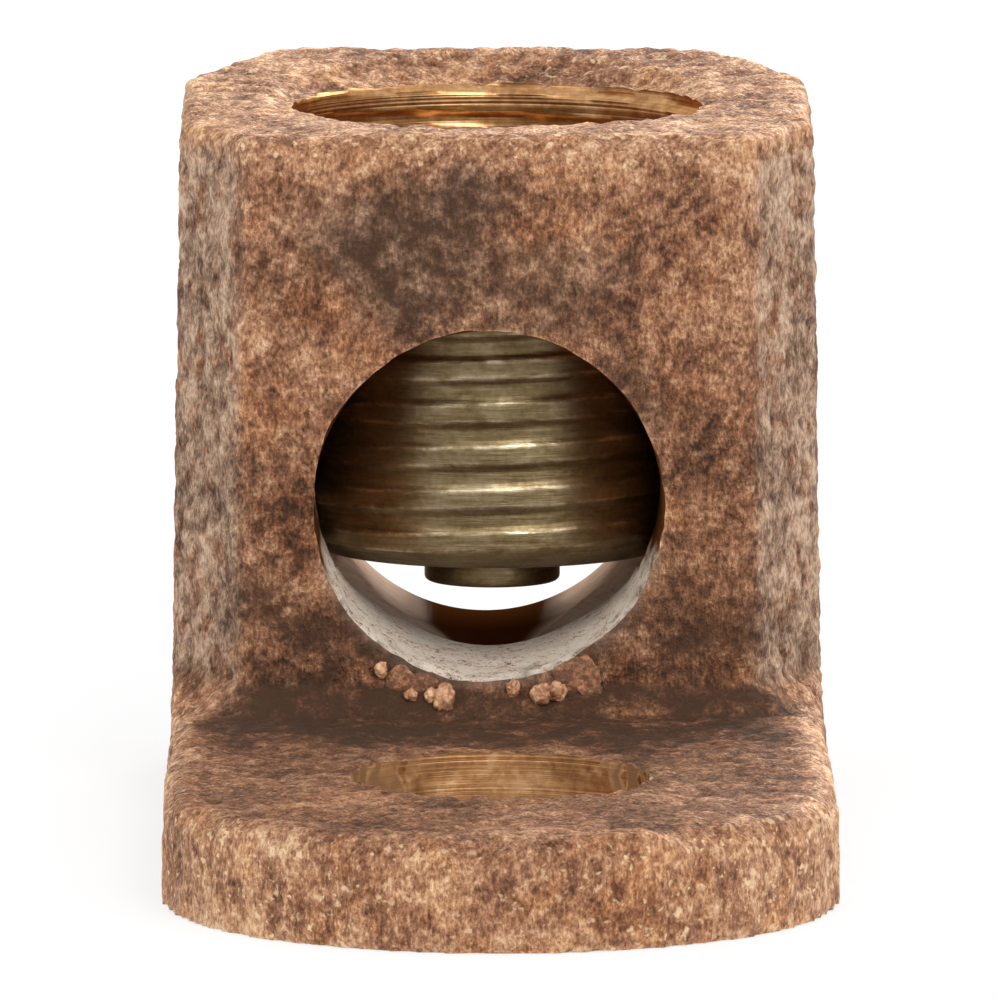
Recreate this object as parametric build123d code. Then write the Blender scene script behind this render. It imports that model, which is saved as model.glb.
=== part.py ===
from build123d import *
import math
import os

# A tongue terminal: one rough casting that carries a block and a flat tongue, and the set
# screw that comes down through the block onto the cable.
# The origin is on the axis of the tongue's fixing hole, in the flat underside.
# +Z is up and +Y runs from the tongue to the block. All lengths are in millimetres.

# The casting
body_width = 22.6            # across the underside
draft_angle = 0.95           # of the cast walls, in degrees

# The tongue
tongue_thickness = 3.8
tongue_reach = 14.2          # from the fixing hole's axis to the round tip
tongue_edge_round = 0.9
fixing_hole_radius = 5.0

# The block
block_front = 14.0           # from the fixing hole's axis to the front face
block_depth = 21.0
block_height = 23.7          # from the underside to the flat of the top face
front_corner_width = 2.45    # the long flats that take off the two front corners
front_corner_depth = 5.0
front_corner_round = 1.3     # softens the edges of those flats
back_corner_width = 3.3      # the same at the back, where the corners are rounder
back_corner_depth = 5.0
back_corner_round = 3.0
top_front_round = 1.0        # along the front of the top face
top_front_run = 1.2          # how far back that rounding reaches
top_edge_round = 0.4         # round the rest of it
back_lip_rise = 1.2          # the top face sweeps up to its back edge
back_lip_depth = 15.0
dish_radius = 7.5            # a level dish round the screw hole takes the sweep off again
dish_angle = 30.0            # of its sloping edge
foot_size = 0.9              # of the slope between the block and the tongue
foot_angle = 45.0

# The cable tunnel
tunnel_radius = 6.0
tunnel_floor = 5.0           # metal under the tunnel
tunnel_offset = -0.35        # the tunnel is bored a little off the middle
front_mouth_chamfer = 0.25
rear_flare_length = 3.6
rear_flare_radius = 7.4

# The tapped hole
screw_setback = 10.5         # from the block's front face to the hole's axis
screw_offset = -0.15         # the hole is a little off the middle too
screw_hole_radius = 7.0
tap_drill_radius = 6.25
tap_end_drop = 3.0           # the thread ends this far below the tunnel's axis
drill_point_angle = 118.0
drill_point_bite = 1.2       # the drill's point marks the tunnel's floor this deep

# The set screw
screw_clearance = 0.05       # between the screw and its hole
screw_length = 12.1          # without its nose
screw_end_drop = 2.75        # the screw's end sits this far below the tunnel's axis
screw_end_chamfer_height = 0.6
screw_end_chamfer_width = 1.0
screw_top_chamfer = 0.5
nose_radius = 2.37
nose_length = 1.2
nose_dome = 0.2
socket_across_flats = 6.0
socket_depth = 5.5

# Places that follow from the sizes
half_width = body_width / 2
block_back = block_front + block_depth
screw_y = block_front + screw_setback
tunnel_axis_z = tunnel_floor + tunnel_radius
screw_radius = screw_hole_radius - screw_clearance
screw_end_z = tunnel_axis_z - screw_end_drop
past = 2.0                   # how far a cutter runs past the face that it starts from
upward = 0.5                 # a face whose normal rises more than this is a top face
near = 1.0                   # how close to an end of the block an edge still belongs to its rim
same = 0.01                  # two heights or places closer than this are one


def tongue(height):
    """The flat tongue with its full-round end, as far back as the block's corner flats."""
    arc_y = half_width - tongue_reach
    run = block_front + front_corner_depth + front_corner_round - arc_y
    outline = Pos(0, arc_y + run / 2) * Rectangle(body_width, run) + Pos(0, arc_y) * Circle(half_width)
    return extrude(outline, amount=height, taper=draft_angle)


def block_outline():
    """The block's outline at the underside: flats at the corners, rounder behind than in front."""
    x = half_width
    front = block_front + front_corner_depth
    back = block_back - back_corner_depth
    shape = make_face(
        Polyline(
            (-x + front_corner_width, block_front),
            (x - front_corner_width, block_front),
            (x, front),
            (x, back),
            (x - back_corner_width, block_back),
            (-x + back_corner_width, block_back),
            (-x, back),
            (-x, front),
            close=True,
        )
    )
    shape = fillet(shape.vertices().filter_by_position(Axis.Y, back, block_back), back_corner_round)
    front_corners = shape.vertices().filter_by_position(Axis.Y, block_front, front)
    return fillet(front_corners, front_corner_round)


def above_the_top():
    """What lies over the block's top face: flat in front, then sweeping up to the back edge."""
    lip_start = block_back - back_lip_depth
    ceiling = block_height + back_lip_rise + past
    flat = Line((block_front - past, block_height), (lip_start, block_height))
    sweep = TangentArc((lip_start, block_height), (block_back, block_height + back_lip_rise), tangent=(1, 0))
    rest = Polyline(
        sweep @ 1,
        (block_back + past, block_height + back_lip_rise),
        (block_back + past, ceiling),
        (block_front - past, ceiling),
        flat @ 0,
    )
    profile = Plane.YZ * make_face(flat + sweep + rest)
    return extrude(profile, amount=body_width, both=True)


def front_round():
    """What is taken off to round the front of the top face."""
    r = top_front_round
    y = block_front + (block_height - r) * math.tan(math.radians(draft_angle))
    ceiling = block_height + past
    arc = TangentArc((y, block_height - r), (y + top_front_run, block_height), tangent=(0, 1))
    rest = Polyline(
        arc @ 1,
        (y + top_front_run, ceiling),
        (y - past, ceiling),
        (y - past, block_height - r),
        arc @ 0,
    )
    return extrude(Plane.YZ * make_face(arc + rest), amount=body_width, both=True)


def dish():
    """The level dish round the screw hole, with its sloping edge."""
    height = back_lip_rise + past
    spread = height / math.tan(math.radians(dish_angle))
    base = Align.CENTER, Align.CENTER, Align.MIN
    return Pos(screw_offset, screw_y, block_height) * Cone(dish_radius, dish_radius + spread, height, align=base)


def block():
    """The drafted block with its swept top, rounded top edges and dish."""
    tall = extrude(block_outline(), amount=block_height + back_lip_rise, taper=draft_angle)
    cut = tall - above_the_top()
    top_faces = cut.faces().filter_by(lambda face: face.normal_at(face.center()).Z > upward)
    rim = [edge for edge in top_faces.edges() if not is_seam(edge)]
    return fillet(rim, top_edge_round) - front_round() - dish()


def is_seam(edge):
    """True for the line across the top where the flat meets the sweep."""
    middle = edge.position_at(0.5)
    return abs(middle.X) < half_width / 2 and block_front + near < middle.Y < block_back - near


def foot():
    """The cast slope that leads from the tongue up to the block's front and corner flats."""
    slope = extrude(offset(block_outline(), amount=foot_size), amount=foot_size, taper=foot_angle)
    return Pos(0, 0, tongue_thickness) * slope & tongue(tongue_thickness + foot_size)


def tunnel():
    """The bored cable tunnel, with a small front chamfer and a flared rear mouth."""
    y0 = block_front
    y1 = block_back
    r = tunnel_radius
    flare = (rear_flare_radius - r) / rear_flare_length
    mouth_y = y0 + tunnel_axis_z * math.tan(math.radians(draft_angle))
    front = front_mouth_chamfer
    profile = Polyline(
        (0, y0 - past),
        (r + front, y0 - past),
        (r + front, mouth_y),
        (r, mouth_y + front),
        (r, y1 - rear_flare_length),
        (rear_flare_radius + flare * past, y1 + past),
        (0, y1 + past),
        close=True,
    )
    return Pos(tunnel_offset, 0, tunnel_axis_z) * revolve(make_face(profile), Axis.Y)


def screw_hole():
    """The tapped hole at its full thread radius, with the tap drill and its point below it."""
    top = block_height + back_lip_rise + past
    thread_end = tunnel_axis_z - tap_end_drop
    slope = math.tan(math.radians(90 - drill_point_angle / 2))
    point_z = tunnel_floor - drill_point_bite
    cone_z = point_z + tap_drill_radius * slope
    profile = Polyline(
        (0, top),
        (screw_hole_radius, top),
        (screw_hole_radius, thread_end),
        (tap_drill_radius, thread_end),
        (tap_drill_radius, cone_z),
        (0, point_z),
        close=True,
    )
    return Pos(screw_offset, screw_y) * revolve(Plane.XZ * make_face(profile), Axis.Z)


def terminal_body():
    """The whole casting with its bored, drilled and tapped holes."""
    casting = tongue(tongue_thickness) + block() + foot()
    rim = casting.edges().filter_by(lambda edge: abs(edge.center().Z - tongue_thickness) < same)
    free_rim = [edge for edge in rim if edge.center().Y < block_front - foot_size - same]
    casting = fillet(free_rim, tongue_edge_round)
    fixing_hole = Pos(0, 0, tongue_thickness / 2) * Cylinder(fixing_hole_radius, tongue_thickness + 2 * past)
    return casting - tunnel() - screw_hole() - fixing_hole


def clamp_screw():
    """The set screw: chamfered ends, a short domed nose and a hexagon socket for the key."""
    r = screw_radius
    bottom = screw_end_z
    top = bottom + screw_length
    nose_z = bottom - nose_length
    dome_radius = (nose_radius**2 + nose_dome**2) / (2 * nose_dome)
    side = Polyline(
        (0, nose_z),
        (0, top),
        (r - screw_top_chamfer, top),
        (r, top - screw_top_chamfer),
        (r, bottom + screw_end_chamfer_height),
        (r - screw_end_chamfer_width, bottom),
        (nose_radius, bottom),
        (nose_radius, nose_z + nose_dome),
    )
    dome = RadiusArc((nose_radius, nose_z + nose_dome), (0, nose_z), dome_radius)
    screw = revolve(Plane.XZ * make_face(side + dome), Axis.Z)
    key = RegularPolygon(socket_across_flats / 2, 6, major_radius=False)
    socket = Pos(0, 0, top - socket_depth) * extrude(key, amount=socket_depth + past)
    return Pos(screw_offset, screw_y) * (screw - socket)


def main():
    os.makedirs("parts", exist_ok=True)
    export_step(terminal_body(), "parts/terminal_body.step")
    export_step(clamp_screw(), "parts/clamp_screw.step")


main()
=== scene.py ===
import math

import bmesh
import bpy
import numpy as np
from mathutils import Matrix, Vector, noise


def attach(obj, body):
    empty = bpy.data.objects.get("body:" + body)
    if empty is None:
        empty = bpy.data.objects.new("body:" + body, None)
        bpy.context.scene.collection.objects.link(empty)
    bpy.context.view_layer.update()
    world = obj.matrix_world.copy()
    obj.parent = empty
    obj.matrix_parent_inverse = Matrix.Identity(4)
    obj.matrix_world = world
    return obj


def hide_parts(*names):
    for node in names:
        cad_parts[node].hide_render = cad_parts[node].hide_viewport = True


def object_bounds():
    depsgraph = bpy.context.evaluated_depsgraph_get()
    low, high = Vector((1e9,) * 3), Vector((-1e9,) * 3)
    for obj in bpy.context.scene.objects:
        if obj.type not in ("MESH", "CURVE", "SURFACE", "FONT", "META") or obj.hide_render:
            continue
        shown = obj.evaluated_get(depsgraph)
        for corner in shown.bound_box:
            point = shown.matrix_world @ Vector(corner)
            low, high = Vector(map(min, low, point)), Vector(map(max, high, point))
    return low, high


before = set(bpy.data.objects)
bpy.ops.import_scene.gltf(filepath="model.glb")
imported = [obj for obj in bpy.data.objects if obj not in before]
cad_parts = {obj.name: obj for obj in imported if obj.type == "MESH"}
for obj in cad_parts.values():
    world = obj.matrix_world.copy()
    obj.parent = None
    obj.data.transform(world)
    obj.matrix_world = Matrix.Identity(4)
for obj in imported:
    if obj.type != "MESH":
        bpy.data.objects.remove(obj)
cad_low, cad_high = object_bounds()

MM = 0.001

# Sizes repeated from the part's source, in millimetres
BLOCK_FRONT = 14.0
BLOCK_DEPTH = 21.0
BLOCK_HEIGHT = 23.7
DRAFT = math.tan(math.radians(0.95))
TONGUE_THICKNESS = 3.8
FIXING_HOLE_RADIUS = 5.0
TUNNEL_RADIUS = 6.0
TUNNEL_X = -0.35
TUNNEL_Z = 11.0
FLARE_LENGTH = 3.6
FLARE_RADIUS = 7.4
SCREW_X = -0.15
SCREW_Y = BLOCK_FRONT + 10.5
HOLE_RADIUS = 7.0
DRILL_RADIUS = 6.25
THREAD_END_Z = 8.0
DRILL_POINT_Z = 3.8
DRILL_SLOPE = math.tan(math.radians(31))
SCREW_RADIUS = 6.95
SCREW_END_Z = 8.25
SCREW_LENGTH = 12.1
SCREW_END_CHAMFER = (1.0, 0.6)
SCREW_TOP_CHAMFER = 0.5
NOSE_RADIUS = 2.37
NOSE_LENGTH = 1.2
NOSE_DOME = 0.2
SOCKET_ACROSS_FLATS = 6.0
SOCKET_DEPTH = 5.5

# The thread, which only these meshes carry
PITCH = 1.5
SCREW_THREAD = {"depth": 0.11, "crest": 0.40, "up": 0.14, "down": 0.17, "start": 0.563}
HOLE_THREAD = {"depth": 0.42, "crest": 0.26, "up": 0.14, "down": 0.14, "start": 0.363}

# The worn mouth of the tunnel and the crust of dust inside it
MOUTH_BREAK = 0.06
MOUTH_RAGGED = 0.13
CRUST_HEIGHT = 0.13
CRUST_STEP = 0.3
CRUST_ROWS = 16

# The relief of the casting's skin
SKIN_VOXEL = 0.23
BROAD_RELIEF = 0.06
MIDDLE_RELIEF = 0.075
GRAIN_RELIEF = 0.12
SKIN_SINK = 0.015
INSIDE_BOX = 0.004
FULL_RELIEF = 0.09

CASTING_SHARP_ANGLE = 48
SCREW_SHARP_ANGLE = 32

# The camera, fitted to the photograph's outlines
PHOTO_WIDTH = 1000
FOCAL_PIXELS = 16033
SENSOR_WIDTH = 36.0
CAMERA_YAW = 0.00542
CAMERA_PITCH = 0.13152
CAMERA_PLACE = (-2.886, BLOCK_FRONT - 545.0, 83.326)


def new_object(name, vertices, faces, smooth=False):
    """A mesh object from points in millimetres."""
    mesh = bpy.data.meshes.new(name)
    mesh.from_pydata([tuple(c * MM for c in v) for v in vertices], [], faces)
    mesh.update()
    obj = bpy.data.objects.new(name, mesh)
    bpy.context.scene.collection.objects.link(obj)
    if smooth:
        mesh.shade_smooth()
    return obj


def apply_modifier(obj, kind, **settings):
    """Adds one modifier, applies it and leaves the plain mesh."""
    modifier = obj.modifiers.new(kind.title(), kind)
    for key, value in settings.items():
        setattr(modifier, key, value)
    bpy.context.view_layer.objects.active = obj
    bpy.ops.object.modifier_apply(modifier=modifier.name)


def join(objects, name):
    """Joins objects into one mesh."""
    bpy.ops.object.select_all(action="DESELECT")
    for obj in objects:
        obj.select_set(True)
    bpy.context.view_layer.objects.active = objects[0]
    bpy.ops.object.join()
    objects[0].name = name
    return objects[0]


def lathe(profile, columns, centre=(0.0, 0.0), radius_of=None):
    """Points and faces of a closed turned form about a vertical axis through centre.
    profile is a list of (radius, z) from bottom to top; radius_of(angle, z, radius) may shape it."""
    vertices = []
    for radius, z in profile:
        for i in range(columns):
            angle = 2 * math.pi * i / columns
            r = radius if radius_of is None else radius_of(angle, z, radius)
            vertices.append((centre[0] + r * math.cos(angle), centre[1] + r * math.sin(angle), z))
    faces = []
    for j in range(len(profile) - 1):
        for i in range(columns):
            k = (i + 1) % columns
            a, b = j * columns, (j + 1) * columns
            faces.append((a + i, a + k, b + k, b + i))
    low = len(vertices)
    vertices.append((centre[0], centre[1], profile[0][1]))
    vertices.append((centre[0], centre[1], profile[-1][1]))
    top = (len(profile) - 1) * columns
    for i in range(columns):
        k = (i + 1) % columns
        faces.append((low, k, i))
        faces.append((low + 1, top + i, top + k))
    return vertices, faces


def along_y(vertices, x, z):
    """Turns a form made about the vertical axis so that it lies along +Y."""
    return [(v[0] + x, v[2], -v[1] + z) for v in vertices]


def smooth_step(low, high, value):
    """0 at low and 1 at high, with a soft start and end."""
    t = np.clip((value - low) / (high - low), 0.0, 1.0)
    return t * t * (3 - 2 * t)


def tooth(thread, angle, z):
    """Height of a right-hand thread, from 0 at its root to its depth at its crest.
    The flanks above and below a crest are given as shares of the pitch."""
    phase = (z / PITCH - angle / (2 * math.pi) + thread["start"]) % 1.0
    half = thread["crest"] / 2
    above = (half + thread["up"] - phase) / thread["up"]
    below = (phase - 1 + half + thread["down"]) / thread["down"]
    t = min(max(above, below, 0.0), 1.0)
    return thread["depth"] * t


def thread_rows(z0, z1, steps):
    """Heights from z0 to z1, with about steps of them to each pitch."""
    count = int(round((z1 - z0) / PITCH * steps))
    return [z0 + (z1 - z0) * i / count for i in range(count + 1)]


# The clamp screw
def screw_form():
    """The set screw with its right-hand thread, chamfered ends, nose and key socket."""
    end = SCREW_END_Z
    top = end + SCREW_LENGTH
    width, height = SCREW_END_CHAMFER
    root = SCREW_RADIUS - SCREW_THREAD["depth"]

    def radius_of(angle, z, radius):
        return min(radius, root + tooth(SCREW_THREAD, angle, z))

    profile = [(SCREW_RADIUS - width, end)]
    for z in thread_rows(end, top, 22):
        limit = SCREW_RADIUS
        if z < end + height:
            limit = SCREW_RADIUS - width * (end + height - z) / height
        if z > top - SCREW_TOP_CHAMFER:
            limit = SCREW_RADIUS - (z - top + SCREW_TOP_CHAMFER)
        profile.append((limit, z))
    vertices, faces = lathe(profile[1:], 180, (SCREW_X, SCREW_Y), radius_of)
    body = new_object("screw_threads", vertices, faces)
    nose_profile = []
    for i in range(7):
        a = math.pi / 2 * i / 6
        radius = NOSE_RADIUS - NOSE_DOME * (1 - math.sin(a))
        nose_profile.append((radius, end - NOSE_LENGTH + NOSE_DOME * (1 - math.cos(a))))
    nose_profile += [(NOSE_RADIUS, end - 0.3), (NOSE_RADIUS - 0.1, end - 0.08), (NOSE_RADIUS - 0.1, end + 0.5)]
    vertices, faces = lathe(nose_profile, 96, (SCREW_X, SCREW_Y))
    nose = new_object("screw_nose", vertices, faces)
    apply_modifier(body, "BOOLEAN", operation="UNION", object=nose, solver="EXACT")
    bpy.data.objects.remove(nose)
    socket_top = top + 1.0
    socket_bottom = top - SOCKET_DEPTH
    corner = SOCKET_ACROSS_FLATS / math.sqrt(3)
    turns = [math.radians(60 * i + 30) for i in range(6)]
    ring = [(SCREW_X + corner * math.cos(turn), SCREW_Y + corner * math.sin(turn)) for turn in turns]
    vertices = [(x, y, socket_bottom) for x, y in ring] + [(x, y, socket_top) for x, y in ring]
    vertices.append((SCREW_X, SCREW_Y, socket_bottom - 1.2))
    faces = [(i, (i + 1) % 6, 6 + (i + 1) % 6, 6 + i) for i in range(6)]
    faces += [tuple(range(6, 12))]
    faces += [(12, (i + 1) % 6, i) for i in range(6)]
    key = new_object("screw_socket", vertices, faces)
    apply_modifier(body, "BOOLEAN", operation="DIFFERENCE", object=key, solver="EXACT")
    bpy.data.objects.remove(key)
    return body


screw = screw_form()
screw.name = "clamp_screw_turned"
screw.data.name = "clamp_screw_turned"
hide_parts("clamp_screw")
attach(screw, "screw")


# The casting
def turned_cutters():
    """The forms that the cutting tools took out of the casting."""
    past = 2.0
    front, back = BLOCK_FRONT, BLOCK_FRONT + BLOCK_DEPTH
    spread = (FLARE_RADIUS - TUNNEL_RADIUS) / FLARE_LENGTH
    mouth = front + TUNNEL_Z * DRAFT
    crust = [mouth + CRUST_STEP * (i + 1) for i in range(CRUST_ROWS)]
    profile = [(TUNNEL_RADIUS + MOUTH_BREAK, front - past), (TUNNEL_RADIUS + MOUTH_BREAK, mouth)]
    profile += [(TUNNEL_RADIUS, y) for y in crust]
    profile += [(TUNNEL_RADIUS, back - FLARE_LENGTH), (FLARE_RADIUS + spread * past, back + past)]

    def bore_of(angle, y, radius):
        across, down = math.cos(angle), math.sin(angle)
        if y <= mouth:
            return radius + MOUTH_RAGGED * noise.fractal((3.4 * across, 3.4 * down, 1.7), 0.9, 2.1, 4)
        if y >= crust[-1]:
            return radius
        low_side = min(max((down - 0.2) / 0.3, 0.0), 1.0)
        lump = noise.fractal((across * 9.0, y * 1.5, down * 9.0), 0.9, 2.1, 3)
        return radius - CRUST_HEIGHT * low_side * max(0.4 + lump, 0.0)

    vertices, faces = lathe(profile, 190, radius_of=bore_of)
    tunnel = new_object("cut_tunnel", along_y(vertices, TUNNEL_X, TUNNEL_Z), faces)

    def radius_of(angle, z, radius):
        if z < THREAD_END_Z:
            return radius
        return radius + tooth(HOLE_THREAD, angle, z)

    cone_z = DRILL_POINT_Z + DRILL_RADIUS * DRILL_SLOPE
    profile = [(0.02, DRILL_POINT_Z), (DRILL_RADIUS, cone_z), (DRILL_RADIUS, THREAD_END_Z - 0.01)]
    profile += [(HOLE_RADIUS, z) for z in thread_rows(THREAD_END_Z, BLOCK_HEIGHT + 3.3, 12)]
    vertices, faces = lathe(profile, 128, (SCREW_X, SCREW_Y), radius_of)
    well = new_object("cut_screw_hole", vertices, faces)

    heights = [-1.0] + [TONGUE_THICKNESS * i / 8 for i in range(9)] + [TONGUE_THICKNESS + 1.0]
    vertices, faces = lathe([(FIXING_HOLE_RADIUS, z) for z in heights], 112)
    fixing = new_object("cut_fixing_hole", vertices, faces)
    return [tunnel, well, fixing]


def plugs():
    """Fillings that close the holes again, so that the rough skin can be made before they are cut."""
    front, back = BLOCK_FRONT, BLOCK_FRONT + BLOCK_DEPTH
    reach = FLARE_RADIUS + 0.25
    count = 96
    turns = [2 * math.pi * i / count for i in range(count)]
    ring = [(TUNNEL_X + reach * math.cos(turn), TUNNEL_Z + reach * math.sin(turn)) for turn in turns]
    vertices = [(x, front + z * DRAFT, z) for x, z in ring] + [(x, back - z * DRAFT, z) for x, z in ring]
    faces = [(i, (i + 1) % count, count + (i + 1) % count, count + i) for i in range(count)]
    faces += [tuple(reversed(range(count))), tuple(range(count, 2 * count))]
    made = [new_object("plug_tunnel", vertices, faces)]
    reach = HOLE_RADIUS + 0.3
    vertices, faces = lathe([(reach, THREAD_END_Z - 1.0), (reach, BLOCK_HEIGHT)], 96, (SCREW_X, SCREW_Y))
    made.append(new_object("plug_screw_hole", vertices, faces))
    vertices, faces = lathe([(FIXING_HOLE_RADIUS + 0.2, 0.0), (FIXING_HOLE_RADIUS + 0.2, TONGUE_THICKNESS)], 96)
    made.append(new_object("plug_fixing_hole", vertices, faces))
    return made


def read_points(mesh, what="co"):
    """The places or the normals of a mesh's vertices, one row each."""
    values = np.empty(len(mesh.vertices) * 3)
    mesh.vertices.foreach_get(what, values)
    return values.reshape(-1, 3)


def keep_values(mesh, name, values):
    """Keeps one value for each vertex, for the materials to read."""
    layer = mesh.attributes.new(name, "FLOAT", "POINT")
    layer.data.foreach_set("value", np.ascontiguousarray(values, dtype=np.float32))


def write_points(mesh, points):
    mesh.vertices.foreach_set("co", points.ravel())
    mesh.update()


def sampled(points, scale, octaves, roughness=0.9, shift=0.0):
    """Fractal noise at each point, in a range of about -1 to 1; scale is the size of its features in mm."""
    values = []
    for p in points:
        place = (p[0] / scale[0] + shift, p[1] / scale[1] + shift, p[2] / scale[2] + shift)
        values.append(noise.fractal(place, roughness, 2.1, octaves))
    return np.array(values)


def grains(points, size, shift=0.0):
    """Rounded lumps like grains of moulding sand: 1 at the middle of each and 0 between them."""
    out = np.empty(len(points))
    for i, p in enumerate(points):
        near, _ = noise.voronoi((p[0] / size[0] + shift, p[1] / size[1] + shift, p[2] / size[2] + shift))
        out[i] = 1 - min(near[0] * 1.35, 1.0) ** 2
    return out


def rough_skin(obj):
    """Gives the casting the relief of a sand mould, a little under its nominal faces."""
    mesh = obj.data
    points = read_points(mesh) / MM
    normals = read_points(mesh, "normal")
    upright = smooth_step(0.5, 0.2, np.abs(normals[:, 2]))
    stretch = 1.0 + 0.9 * upright * smooth_step(12.0, 9.0, points[:, 1])
    flat = np.stack([points[:, 0], points[:, 1], points[:, 2] / stretch], axis=1)
    broad = sampled(points, (4.5, 4.5, 6.0), 2)
    middle = sampled(flat, (1.3, 1.3, 1.5), 3, shift=7.3)
    lumps = grains(flat, (0.62, 0.62, 0.62), shift=3.1)
    under = smooth_step(0.35, 0.1, points[:, 2])
    height = BROAD_RELIEF * broad + MIDDLE_RELIEF * middle + GRAIN_RELIEF * (lumps - 0.5) - SKIN_SINK
    height = height * (1 - 0.75 * under)
    points = points + normals * height[:, None]
    low = np.array(cad_low) / MM
    high = np.array(cad_high) / MM
    points = np.clip(points, low + INSIDE_BOX, high - INSIDE_BOX)
    write_points(mesh, points * MM)


def material(name):
    """A new material with an empty node tree."""
    made = bpy.data.materials.new(name)
    made.use_nodes = True
    made.node_tree.nodes.clear()
    return made


cast_copper = material("cast_copper_skin")
cut_copper = material("machined_copper")
burr_copper = material("torn_burr_copper")


def casting_form():
    """The rough casting, bored, drilled and tapped."""
    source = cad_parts["terminal_body"]
    blank = bpy.data.objects.new("terminal_casting", source.data.copy())
    bpy.context.scene.collection.objects.link(blank)
    blank.data.materials.clear()
    blank = join([blank] + plugs(), "terminal_casting")
    apply_modifier(blank, "REMESH", mode="VOXEL", voxel_size=SKIN_VOXEL * MM)
    rough_skin(blank)
    blank.data.materials.append(cast_copper)
    for cutter in turned_cutters():
        cutter.data.materials.append(cut_copper)
        apply_modifier(blank, "BOOLEAN", operation="DIFFERENCE", object=cutter, solver="EXACT",
                       material_mode="TRANSFER")
        bpy.data.objects.remove(cutter)
    return blank


def burr(centre, size, pale, seed):
    """One torn lump of metal or slag, centre and half sizes in mm."""
    mesh = bpy.data.meshes.new("burr")
    form = bmesh.new()
    bmesh.ops.create_icosphere(form, subdivisions=4, radius=1.0)
    for v in form.verts:
        d = v.co.normalized()
        swell = 1 + 0.28 * noise.fractal(d * 1.6 + Vector((seed, 0, 0)), 0.8, 2.1, 3)
        v.co = Vector([c + part * half * swell for c, part, half in zip(centre, d, size)]) * MM
    for face in form.faces:
        face.smooth = True
    form.to_mesh(mesh)
    form.free()
    keep_values(mesh, "pale", np.full(len(mesh.vertices), pale))
    mesh.materials.append(burr_copper)
    obj = bpy.data.objects.new("burr", mesh)
    bpy.context.scene.collection.objects.link(obj)
    return obj


# Centre, half sizes and paleness of the burrs that hang from the tunnel's front edge
BURRS = [
    ((-4.0, 14.05, 5.35), (0.22, 0.25, 0.28), 1.0),
    ((-3.35, 14.05, 4.95), (0.52, 0.12, 0.5), 0.0),
    ((-2.6, 14.05, 4.8), (0.52, 0.12, 0.42), 0.0),
    ((-3.0, 13.75, 4.5), (0.22, 0.3, 0.22), 1.0),
    ((-2.3, 13.72, 4.5), (0.24, 0.3, 0.26), 1.0),
    ((-1.85, 13.55, 4.4), (0.36, 0.36, 0.55), 1.0),
    ((0.52, 13.85, 4.72), (0.24, 0.25, 0.3), 1.0),
    ((1.5, 13.6, 4.55), (0.36, 0.36, 0.38), 1.0),
    ((2.0, 13.65, 4.65), (0.34, 0.34, 0.34), 1.0),
    ((2.75, 14.05, 5.05), (0.74, 0.13, 0.7), 0.0),
    ((3.15, 14.0, 4.7), (0.42, 0.16, 0.42), 0.1),
]


def relief_of(mesh, points, rounds):
    """How far each vertex stands out from its smoothed neighbourhood, in mm."""
    count = len(points)
    edges = np.empty(len(mesh.edges) * 2, dtype=np.int64)
    mesh.edges.foreach_get("vertices", edges)
    a, b = edges.reshape(-1, 2).T
    share = np.bincount(a, minlength=count) + np.bincount(b, minlength=count)
    smooth = points.copy()
    for _ in range(rounds):
        total = np.stack([
            np.bincount(a, weights=smooth[b, k], minlength=count)
            + np.bincount(b, weights=smooth[a, k], minlength=count)
            for k in range(3)
        ], axis=1)
        smooth = 0.5 * smooth + 0.5 * total / np.maximum(share, 1)[:, None]
    normals = read_points(mesh, "normal")
    return np.sum((points - smooth) * normals, axis=1)


def blob(x, z, centre, reach, edge):
    """A soft round patch on the front face."""
    d = np.sqrt(((x - centre[0]) / reach[0]) ** 2 + ((z - centre[1]) / reach[1]) ** 2)
    return smooth_step(1 + edge, 1 - edge, d)


# Centre (x, z), reach and strength of the sooty patches on the front face
SOOT_PATCHES = [
    ((-3.6, 19.6), (3.4, 2.6), 0.9),
    ((0.6, 18.4), (3.0, 1.7), 0.55),
    ((-6.6, 7.4), (1.9, 2.0), 0.9),
    ((6.6, 6.8), (2.6, 2.0), 0.7),
    ((-4.8, 5.6), (2.4, 1.0), 0.7),
    ((4.4, 14.6), (0.9, 2.2), 0.35),
]


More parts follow.
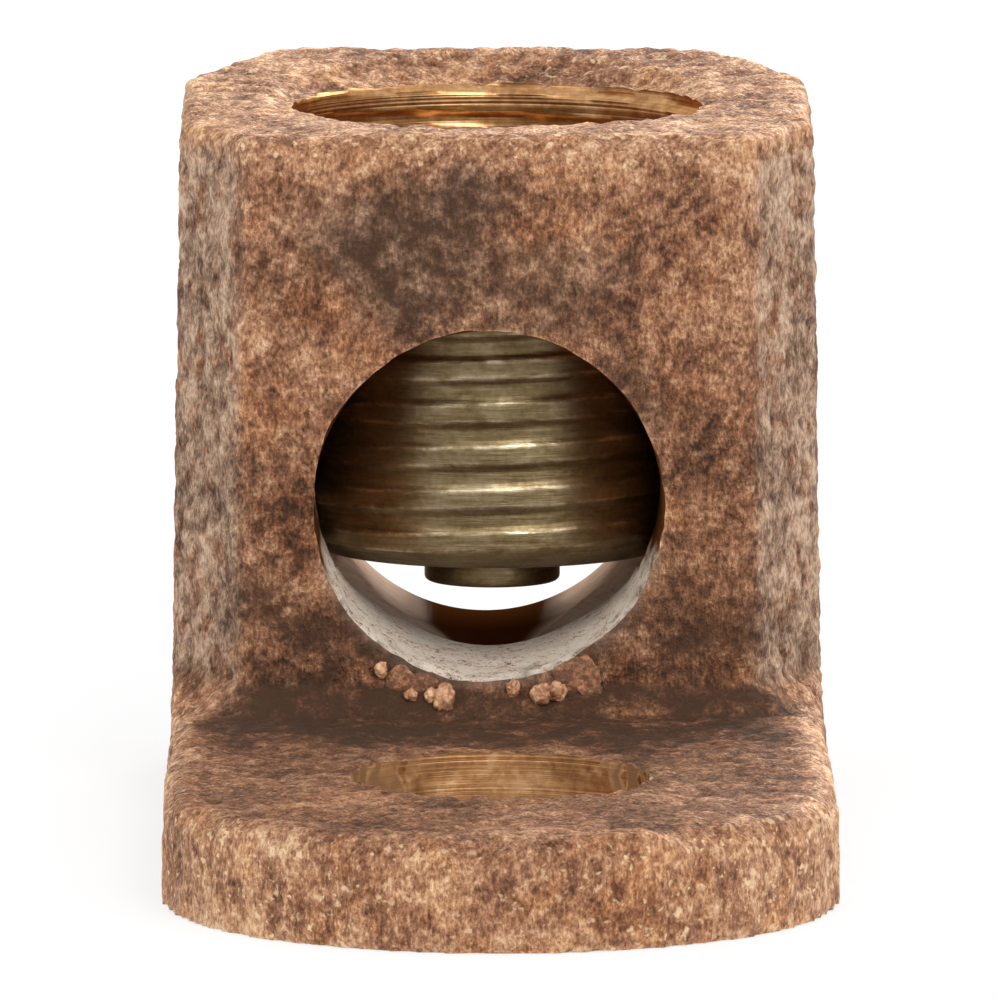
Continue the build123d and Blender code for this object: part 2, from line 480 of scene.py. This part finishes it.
def zone_masks(obj):
    """Where the casting is rubbed bright or painted lighter as if lit from above, dark with sooty patches or painted
    shade, painted with a greyish sheen, dusty, crusted, or painted shaded or back-lit inside its holes, kept as
    values on its vertices.
    """
    mesh = obj.data
    points = read_points(mesh) / MM
    x, y, z = points.T
    warp = sampled(points, (2.2, 2.2, 2.2), 3, shift=11.0)
    relief = np.clip(relief_of(mesh, points, 8) / FULL_RELIEF, -1.5, 1.5)

    front = smooth_step(15.2, 14.8, y) * smooth_step(4.4, 4.9, z)
    dark = np.zeros(len(points))
    for centre, reach, strength in SOOT_PATCHES:
        dark = np.maximum(dark, strength * blob(x + warp * 1.4, z + warp * 1.4, centre, reach, 0.45))
    along = np.hypot(x - TUNNEL_X, z - TUNNEL_Z)
    # Darker in a narrow band along the lower lip of the tunnel's mouth.
    under_mouth = smooth_step(7.0, 6.3, along + warp * 0.3) * smooth_step(TUNNEL_Z - 1.5, TUNNEL_Z - 3.5, z)
    dark = np.maximum(dark, 0.95 * under_mouth) * front
    # Painted shade on the tongue's top: slightly darker towards the block, and much darker over its last millimetres
    # before the block's foot.
    on_tongue = smooth_step(4.95, 4.6, z) * smooth_step(3.2, 3.5, z) * smooth_step(14.6, 14.2, y)
    back_of_tongue = smooth_step(5.0, 9.0, y + warp * 2.0) * smooth_step(10.8, 8.5, np.abs(x) + warp)
    dark = np.maximum(dark, on_tongue * back_of_tongue * 1.15)
    middle_of_tongue = smooth_step(-9.0, 3.0, y + warp * 3.0) * 0.22
    dark = np.maximum(dark, on_tongue * middle_of_tongue * smooth_step(10.5, 8.0, np.abs(x) + warp))

    # Painted reflection: the front corner flats are painted greyish as if they caught light from the sides; the upper
    # sooty patches are made greyish too.
    corner = smooth_step(8.7, 9.2, np.abs(x)) * smooth_step(19.6, 18.9, y) * smooth_step(4.3, 5.2, z)
    sheen_and_grey = corner * smooth_step(23.4, 22.4, z)
    sheen_and_grey = np.maximum(sheen_and_grey, 0.55 * dark * smooth_step(11.0, 13.0, z))

    # Lighter: rubbed wear on the top edges, the tongue's tip and its side rims; the whole top face and its upper
    # edges are also painted lighter, painted light from above.
    top = smooth_step(22.3, 23.2, z)
    lip = smooth_step(21.9, 23.0, z + warp * 0.5)
    tip = smooth_step(3.9, 3.2, z) * smooth_step(8.0, 2.0, y)
    rim = smooth_step(9.6, 10.9, np.abs(x) + warp * 0.4) * smooth_step(5.0, 4.2, z)
    outward = smooth_step(2.0, 8.5, np.abs(x) + warp * 1.5)
    worn_and_lit = np.maximum.reduce([0.68 * lip, 0.5 * top, (0.52 + 0.46 * outward) * tip, 0.7 * rim])

    in_tunnel = smooth_step(TUNNEL_RADIUS + 0.45, TUNNEL_RADIUS + 0.1, along) * smooth_step(13.7, 14.0, y)
    low_side = smooth_step(-1.2, -2.6, z - TUNNEL_Z + warp * 0.8)
    from_pit = np.hypot(x - SCREW_X, y - SCREW_Y)
    before_pit = smooth_step(SCREW_Y, SCREW_Y - 0.5, y) * smooth_step(1.7, 2.1, from_pit)
    crumbs = sampled(points, (0.55, 0.55, 0.55), 3, shift=5.9)
    near_mouth = smooth_step(16.2, 14.2, y + warp * 1.2)
    dust = in_tunnel * low_side * before_pit * (1 - near_mouth * smooth_step(-0.1, 0.6, crumbs) * 0.75)

    behind_pit = smooth_step(SCREW_Y - 1.6, SCREW_Y - 0.8, y + 0.06 * x * x)
    in_rear = smooth_step(FLARE_RADIUS + 0.4, FLARE_RADIUS + 0.1, along) * smooth_step(35.0, 34.6, y)
    aside = np.abs(x - TUNNEL_X) + warp * 0.4
    # Painted shade: a dark brown strip along the middle of the rear floor, under and behind the screw, and the drill
    # point's pit beneath it.
    shade_under_screw = in_rear * behind_pit * smooth_step(3.4, 1.9, aside) * smooth_step(-3.0, -4.2, z - TUNNEL_Z)
    # Painted back light: the lower rear floor behind the pit is made matt and painted pale, as if lit through the
    # rear opening.
    painted_backlight = in_rear * behind_pit * smooth_step(0.5, -1.5, z - TUNNEL_Z)
    pit = smooth_step(2.2, 1.9, from_pit) * smooth_step(5.6, 5.0, z)
    shade_under_screw = np.maximum(shade_under_screw, pit)

    turning = np.where(along < TUNNEL_RADIUS + 0.4, y, z)
    from_fixing = np.hypot(x, y)
    gold = smooth_step(FIXING_HOLE_RADIUS + 0.3, FIXING_HOLE_RADIUS, from_fixing) * smooth_step(4.5, 4.0, z)
    # Dark crumbly crust on the fixing hole's wall, with painted shade growing towards its left and right ends.
    crust_and_end_shade = gold * (0.3 + 0.7 * smooth_step(2.6, 4.2, np.abs(x - 0.3) + warp * 1.2)) * smooth_step(-0.7, 0.5, crumbs)
    gold = np.maximum(gold, smooth_step(20.5, 21.5, z))
    for name, values in [
        ("relief", relief), ("dark", dark), ("sheen_and_grey", sheen_and_grey), ("worn_and_lit", worn_and_lit),
        ("dust", dust), ("shade_under_screw", shade_under_screw), ("painted_backlight", painted_backlight), ("crust_and_end_shade", crust_and_end_shade), ("turning", turning), ("gold", gold),
    ]:
        keep_values(mesh, name, values)


def thread_mask(obj):
    """How deep each vertex lies in the screw's thread: 0 on a crest and 1 at a root. Also a thin band along each
    crest's edge, for a painted highlight.
    """
    x, y, z = (read_points(obj.data) / MM).T
    depth = (SCREW_RADIUS - np.hypot(x - SCREW_X, y - SCREW_Y)) / SCREW_THREAD["depth"]
    low = SCREW_END_Z + SCREW_END_CHAMFER[1]
    high = SCREW_END_Z + SCREW_LENGTH - SCREW_TOP_CHAMFER
    threaded = (z > low) & (z < high) & (depth < 1.2)
    keep_values(obj.data, "groove", np.where(threaded, np.clip(depth, 0.0, 1.0), 0.0))
    turn = np.arctan2(y - SCREW_Y, x - SCREW_X) / (2 * math.pi)
    away = np.abs((z / PITCH - turn + SCREW_THREAD["start"] + 0.5) % 1.0 - 0.5)
    # Painted highlight: a thin bright line along the edge of each crest
    edge = np.exp(-((away - SCREW_THREAD["crest"] / 2) / 0.045) ** 2)
    keep_values(obj.data, "edge", np.where(threaded, edge, 0.0))


thread_mask(screw)
casting = casting_form()
zone_masks(casting)
casting.data.shade_smooth()
casting.data.set_sharp_from_angle(angle=math.radians(CASTING_SHARP_ANGLE))
burrs = [burr(centre, size, pale, 3.7 * i) for i, (centre, size, pale) in enumerate(BURRS)]
casting = join([casting] + burrs, "terminal_casting")
casting.data.name = "terminal_casting"
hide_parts("terminal_body")
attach(casting, "terminal")


# Materials
def add(tree, kind, inputs=None, **settings):
    """A node with its settings; each input is a value or another node's output."""
    node = tree.nodes.new(kind)
    for key, value in settings.items():
        setattr(node, key, value)
    for key, value in (inputs or {}).items():
        if isinstance(value, bpy.types.NodeSocket):
            tree.links.new(value, node.inputs[key])
        else:
            node.inputs[key].default_value = value
    return node


def maths(tree, operation, a, b=0.0, clamp=False):
    """One Math node's result."""
    return add(tree, "ShaderNodeMath", {0: a, 1: b}, operation=operation, use_clamp=clamp).outputs[0]


def weighted(tree, pairs, start=0.0):
    """Sum of each value times its weight."""
    total = start
    for value, weight in pairs:
        node = add(tree, "ShaderNodeMath", {0: value, 1: weight, 2: total}, operation="MULTIPLY_ADD")
        total = node.outputs[0]
    return total


def attribute(tree, name):
    """The value that the mesh keeps on its vertices under this name."""
    return add(tree, "ShaderNodeAttribute", attribute_name=name).outputs["Fac"]


def millimetres(tree, stretch=(1, 1, 1)):
    """Object coordinates in millimetres, times stretch."""
    place = add(tree, "ShaderNodeTexCoord").outputs["Object"]
    factors = tuple(1000.0 * s for s in stretch)
    return add(tree, "ShaderNodeVectorMath", {0: place, 1: factors}, operation="MULTIPLY").outputs[0]


def grain(tree, place, scale, detail=4.0, roughness=0.6, distortion=0.0):
    """Noise from 0 to 1; scale is in features to the millimetre."""
    inputs = {"Vector": place, "Scale": scale, "Detail": detail, "Roughness": roughness, "Distortion": distortion}
    return add(tree, "ShaderNodeTexNoise", inputs).outputs["Fac"]


def ramp(tree, value, stops):
    """A colour ramp; stops are (position, colour)."""
    node = add(tree, "ShaderNodeValToRGB", {"Fac": value})
    elements = node.color_ramp.elements
    while len(elements) < len(stops):
        elements.new(0.5)
    for element, (position, colour) in zip(elements, stops):
        element.position = position
        element.color = (*colour, 1.0)
    return node.outputs["Color"]


def spread(tree, value, low, high, to_low=0.0, to_high=1.0):
    """Maps low to high onto to_low to to_high, and holds it there."""
    inputs = {"Value": value, "From Min": low, "From Max": high, "To Min": to_low, "To Max": to_high}
    return add(tree, "ShaderNodeMapRange", inputs).outputs["Result"]


def mixed(tree, factor, a, b, blend="MIX"):
    """Colour a with factor of colour b over it."""
    node = add(tree, "ShaderNodeMix", data_type="RGBA", blend_type=blend)
    for index, value in ((0, factor), (6, a), (7, b)):
        if isinstance(value, bpy.types.NodeSocket):
            tree.links.new(value, node.inputs[index])
        else:
            node.inputs[index].default_value = value if index == 0 else (*value, 1.0)
    return node.outputs[2]


def finished(tree, colour, roughness, metallic, bump=None, distance=0.0, strength=1.0, extra=None):
    """Closes a material with one principled shader; extra holds constants for its other sockets."""
    inputs = {"Base Color": colour, "Roughness": roughness, "Metallic": metallic}
    shader = add(tree, "ShaderNodeBsdfPrincipled", inputs)
    if bump is not None:
        bumped = add(tree, "ShaderNodeBump", {"Height": bump, "Strength": strength, "Distance": distance * MM})
        tree.links.new(bumped.outputs["Normal"], shader.inputs["Normal"])
    for key, value in (extra or {}).items():
        shader.inputs[key].default_value = value
    output = add(tree, "ShaderNodeOutputMaterial")
    tree.links.new(shader.outputs["BSDF"], output.inputs["Surface"])
    return shader


def cast_look(made):
    """Weathered copper casting: brown skin, pale rubbed grains, dark hollows, sooty patches and painted shade, a
    painted greyish sheen on the corner flats, and a top face painted lighter as if lit from above.
    """
    tree = made.node_tree
    place = millimetres(tree)
    tone = grain(tree, place, 0.3, 3.0, 0.6, 0.4)
    blotch = grain(tree, place, 1.1, 4.0, 0.6, 0.3)
    speckle = grain(tree, place, 2.7, 5.0, 0.68)
    fine = grain(tree, millimetres(tree, (1, 1, 0.5)), 9.0, 4.0, 0.65)
    patch = grain(tree, place, 0.42, 3.0, 0.55, 0.9)
    grit = grain(tree, place, 3.4, 2.0, 0.5)
    relief, dark, worn_and_lit, sheen_and_grey = (attribute(tree, n) for n in ("relief", "dark", "worn_and_lit", "sheen_and_grey"))
    level = weighted(tree, [
        (tone, 0.72), (blotch, 0.34), (speckle, 0.88), (fine, 0.86), (relief, 0.11), (worn_and_lit, 0.13), (dark, -0.11),
    ], start=-0.905)
    skin = ramp(tree, level, [
        (0.20, (0.034, 0.013, 0.006)),
        (0.36, (0.118, 0.045, 0.022)),
        (0.50, (0.260, 0.113, 0.057)),
        (0.61, (0.425, 0.208, 0.113)),
        (0.74, (0.650, 0.375, 0.215)),
        (0.90, (0.900, 0.660, 0.430)),
    ])
    grey_sheen_colour = ramp(tree, level, [
        (0.20, (0.070, 0.040, 0.026)),
        (0.42, (0.275, 0.165, 0.105)),
        (0.60, (0.545, 0.362, 0.245)),
        (0.85, (0.800, 0.620, 0.470)),
    ])
    warm = maths(tree, "MULTIPLY", spread(tree, patch, 0.48, 0.64), 0.75, clamp=True)
    skin = mixed(tree, warm, skin, (1.0, 0.87, 0.70), "MULTIPLY")
    # Painted greyish sheen on the corner flats, and a greyish tone on the upper sooty patches
    sheen_and_grey_amount = maths(tree, "MULTIPLY", sheen_and_grey, spread(tree, blotch, 0.36, 0.52), clamp=True)
    colour = mixed(tree, sheen_and_grey_amount, skin, grey_sheen_colour)
    crowns = weighted(tree, [(worn_and_lit, 0.9), (relief, 0.35)], start=0.12)
    sparks = maths(tree, "MULTIPLY", spread(tree, grit, 0.60, 0.70), crowns, clamp=True)
    colour = mixed(tree, sparks, colour, (0.88, 0.62, 0.38))
    thick = weighted(tree, [(tone, -1.6), (blotch, -1.6), (speckle, -1.2)], start=2.90)
    # Sooty patches, plus painted shade on the tongue's top near the block
    soot_and_shade = maths(tree, "MULTIPLY", dark, thick, clamp=True)
    colour = mixed(tree, soot_and_shade, colour, (0.062, 0.026, 0.013))
    dust = maths(tree, "MULTIPLY", attribute(tree, "dust"), 0.15)
    colour = mixed(tree, dust, colour, (0.62, 0.50, 0.41))
    rough = spread(tree, level, 0.3, 0.8, 0.78, 0.42)
    metal = spread(tree, level, 0.35, 0.8, 0.05, 0.55)
    height = weighted(tree, [(speckle, 0.7), (fine, 0.5), (blotch, 0.4)])
    finished(tree, colour, rough, metal, height, 0.34, 1.0, {"Specular Tint": (1.0, 0.84, 0.68, 1.0)})


def cut_look(made):
    """Bored and tapped copper with turning marks, dusty where the tunnel has gathered dirt, with painted shade under
    the screw and at the fixing hole's ends, a dark crumbly crust in that hole, and pale paint standing in for back
    light on the rear floor.
    """
    tree = made.node_tree
    place = millimetres(tree)
    turning = attribute(tree, "turning")
    marks = add(tree, "ShaderNodeTexNoise", {"W": turning, "Scale": 7.0, "Detail": 3.0, "Roughness": 0.6},
                noise_dimensions="1D").outputs["Fac"]
    cloud = grain(tree, place, 0.8, 4.0, 0.6, 0.5)
    speckle = grain(tree, place, 4.0, 4.0, 0.6)
    crumbs = grain(tree, place, 13.0, 3.0, 0.65)
    gold = attribute(tree, "gold")
    level = weighted(tree, [(cloud, 0.6), (marks, 0.25), (speckle, 0.3)], start=-0.1)
    red = ramp(tree, level, [(0.25, (0.10, 0.036, 0.015)), (0.5, (0.33, 0.155, 0.075)), (0.75, (0.58, 0.34, 0.19))])
    bright = ramp(tree, level, [
        (0.25, (0.15, 0.065, 0.024)), (0.48, (0.50, 0.265, 0.115)), (0.75, (0.92, 0.62, 0.34)),
    ])
    metal_colour = mixed(tree, gold, red, bright)
    # Painted shade, dark brown, on the rear floor under the screw and in the drill point's pit
    shade_under_screw = maths(tree, "MULTIPLY", attribute(tree, "shade_under_screw"), 1.0, clamp=True)
    # Pale copper painted on the rear floor, standing in for the light from behind
    backlit_copper_colour = ramp(tree, level, [(0.3, (0.62, 0.38, 0.26)), (0.5, (0.82, 0.58, 0.42)), (0.7, (0.92, 0.74, 0.58))])
    metal_colour = mixed(tree, attribute(tree, "painted_backlight"), metal_colour, backlit_copper_colour)
    metal_colour = mixed(tree, shade_under_screw, metal_colour, (0.075, 0.022, 0.005))
    # Dark crust, and painted shade at the fixing hole's ends
    crust_and_end_shade = weighted(tree, [(attribute(tree, "crust_and_end_shade"), 2.2), (cloud, 1.6), (speckle, 0.8)], start=-1.75)
    crust_and_end_shade = maths(tree, "MULTIPLY", crust_and_end_shade, maths(tree, "GREATER_THAN", attribute(tree, "crust_and_end_shade"), 0.02), clamp=True)
    metal_colour = mixed(tree, crust_and_end_shade, metal_colour, (0.215, 0.112, 0.052))
    dust_level = weighted(tree, [(cloud, 0.6), (speckle, 1.0), (crumbs, 0.9)], start=-0.72)
    dust_colour = ramp(tree, dust_level, [
        (0.25, (0.16, 0.10, 0.065)), (0.36, (0.62, 0.44, 0.31)),
        (0.46, (0.98, 0.81, 0.65)), (0.66, (1.00, 0.90, 0.78)),
    ])
    mask = attribute(tree, "dust")
    ragged = weighted(tree, [(mask, 2.6), (speckle, 0.6)], start=-0.55)
    dusty = maths(tree, "ADD", ragged, 0.0, clamp=True)
    dirt = mixed(tree, attribute(tree, "dust"), (0.16, 0.105, 0.055), dust_colour)
    colour = mixed(tree, dusty, metal_colour, dirt)
    painted_backlight = maths(tree, "MULTIPLY", attribute(tree, "painted_backlight"), 0.85)
    dull = maths(tree, "MAXIMUM", maths(tree, "MAXIMUM", dusty, shade_under_screw), maths(tree, "MAXIMUM", painted_backlight, crust_and_end_shade))
    rough = spread(tree, dull, 0.0, 1.0, 0.34, 0.92)
    metal = spread(tree, dull, 0.0, 1.0, 1.0, 0.0)
    fine_height = weighted(tree, [(crumbs, 0.7), (speckle, 0.8)])
    dusty_height = maths(tree, "MULTIPLY", fine_height, dusty)
    height = weighted(tree, [(marks, 0.25), (dusty_height, 3.2)])
    shader = finished(tree, colour, rough, metal, height, 0.12, 0.8, {"Specular Tint": (1.0, 0.76, 0.56, 1.0)})
    tree.links.new(spread(tree, dull, 0.0, 1.0, 0.5, 0.0), shader.inputs["Specular IOR Level"])


def burr_look(made):
    """Torn lumps, orange-brown, some of them paler all over."""
    tree = made.node_tree
    place = millimetres(tree)
    blotch = grain(tree, place, 1.6, 3.0, 0.6)
    speckle = grain(tree, place, 6.0, 4.0, 0.6)
    level = weighted(tree, [(blotch, 0.8), (speckle, 0.7), (attribute(tree, "pale"), 0.26)], start=-0.43)
    colour = ramp(tree, level, [
        (0.3, (0.150, 0.062, 0.030)), (0.5, (0.430, 0.195, 0.095)), (0.75, (0.80, 0.48, 0.28)),
    ])
    rough = spread(tree, level, 0.3, 0.8, 0.7, 0.45)
    finished(tree, colour, rough, 0.2, speckle, 0.12, 0.8)


def brass_look(made):
    """Greyish yellow brass, turned, with stains, slight painted shade in the thread's roots and a painted highlight
    along the crests' edges.
    """
    tree = made.node_tree
    place = millimetres(tree)
    cloud = grain(tree, millimetres(tree, (1, 1, 2.5)), 0.55, 4.0, 0.6, 0.6)
    streak = grain(tree, millimetres(tree, (0.5, 0.5, 9.0)), 1.0, 4.0, 0.65)
    speckle = grain(tree, place, 5.0, 4.0, 0.6)
    groove = attribute(tree, "groove")
    # Painted highlight along the crests' edges; the groove weight in the level paints slight shade in the thread's
    # roots
    edge = maths(tree, "MULTIPLY", attribute(tree, "edge"), spread(tree, cloud, 0.40, 0.55), clamp=True)
    level = weighted(tree, [
        (cloud, 0.55), (streak, 0.35), (speckle, 0.25), (groove, -0.04), (edge, 0.22),
    ], start=-0.09)
    colour = ramp(tree, level, [
        (0.25, (0.085, 0.052, 0.020)), (0.45, (0.205, 0.150, 0.075)),
        (0.60, (0.300, 0.235, 0.140)), (0.80, (0.62, 0.52, 0.36)),
    ])
    rough = spread(tree, level, 0.3, 0.75, 0.46, 0.30)
    height = weighted(tree, [(streak, 0.6), (speckle, 0.3)])
    finished(tree, colour, rough, 1.0, height, 0.05, 0.7)


cast_look(cast_copper)
cut_look(cut_copper)
burr_look(burr_copper)
brass = material("screw_brass_turned")
brass_look(brass)
screw.data.materials.clear()
screw.data.materials.append(brass)
screw.data.shade_smooth()
screw.data.set_sharp_from_angle(angle=math.radians(SCREW_SHARP_ANGLE))


# Floor, world, lamps and camera
def seen_directly(tree):
    """1 for camera, glossy and transmission rays and 0 for the others."""
    path = add(tree, "ShaderNodeLightPath")
    total = maths(tree, "ADD", path.outputs["Is Camera Ray"], path.outputs["Is Glossy Ray"])
    return maths(tree, "ADD", total, path.outputs["Is Transmission Ray"], clamp=True)


def floor():
    """A pale floor that the camera sees nearly white and that keeps the object's shadow."""
    reach = 3000.0
    vertices = [(-reach, -reach, 0), (reach, -reach, 0), (reach, reach, 0), (-reach, reach, 0)]
    plane = new_object("studio_floor", vertices, [(0, 1, 2, 3)])
    plane.location.z = -0.02 * MM
    made = material("studio_floor_paper")
    tree = made.node_tree
    pale = add(tree, "ShaderNodeBsdfDiffuse", {"Color": (0.9, 0.9, 0.9, 1.0)})
    light = add(tree, "ShaderNodeEmission", {"Color": (1.0, 1.0, 1.0, 1.0), "Strength": 1.0})
    share = maths(tree, "MULTIPLY", seen_directly(tree), 0.72)
    mix = add(tree, "ShaderNodeMixShader", {0: share, 1: pale.outputs[0], 2: light.outputs[0]})
    output = add(tree, "ShaderNodeOutputMaterial")
    tree.links.new(mix.outputs[0], output.inputs["Surface"])
    plane.data.materials.append(made)


def studio_world():
    """Soft light from all sides, seen as plain white."""
    world = bpy.data.worlds.new("studio_world")
    bpy.context.scene.world = world
    world.use_nodes = True
    tree = world.node_tree
    tree.nodes.clear()
    strength = spread(tree, seen_directly(tree), 0.0, 1.0, 0.95, 1.0)
    light = add(tree, "ShaderNodeBackground", {"Color": (1.0, 1.0, 1.0, 1.0), "Strength": strength})
    output = add(tree, "ShaderNodeOutputWorld")
    tree.links.new(light.outputs[0], output.inputs["Surface"])


def lamp(name, place, aim, size, power):
    """A round soft lamp at place, in mm, turned towards aim."""
    data = bpy.data.lights.new(name, "AREA")
    data.shape = "DISK"
    data.size = size * MM
    data.energy = power
    obj = bpy.data.objects.new(name, data)
    bpy.context.scene.collection.objects.link(obj)
    obj.location = Vector(place) * MM
    away = Vector(aim) * MM - obj.location
    obj.rotation_euler = away.to_track_quat("-Z", "Y").to_euler()


def camera():
    """The photograph's view: long lens, a little above and almost straight from the front."""
    yaw, pitch = CAMERA_YAW, CAMERA_PITCH
    forward = Vector((math.sin(yaw) * math.cos(pitch), math.cos(yaw) * math.cos(pitch), -math.sin(pitch)))
    right = Vector((math.cos(yaw), -math.sin(yaw), 0))
    up = right.cross(forward)
    data = bpy.data.cameras.new("photo_camera")
    data.sensor_width = SENSOR_WIDTH
    data.lens = FOCAL_PIXELS * SENSOR_WIDTH / PHOTO_WIDTH
    data.clip_start = 0.05
    data.clip_end = 20.0
    obj = bpy.data.objects.new("photo_camera", data)
    bpy.context.scene.collection.objects.link(obj)
    turn = Matrix((right, up, -forward)).transposed().to_4x4()
    obj.matrix_world = Matrix.Translation(Vector(CAMERA_PLACE) * MM) @ turn
    bpy.context.scene.camera = obj


floor()
studio_world()
lamp("key_lamp", (-260, -420, 380), (0, 14, 10), 260, 0.42)
lamp("fill_lamp", (320, -380, 200), (0, 14, 10), 300, 0.35)
lamp("front_lamp", (140, -453, 400), (0, 14, 8), 260, 1.4)
lamp("back_lamp", (120, 420, 200), (0, 30, 8), 240, 0.7)
camera()
bpy.context.scene.view_settings.view_transform = "Standard"
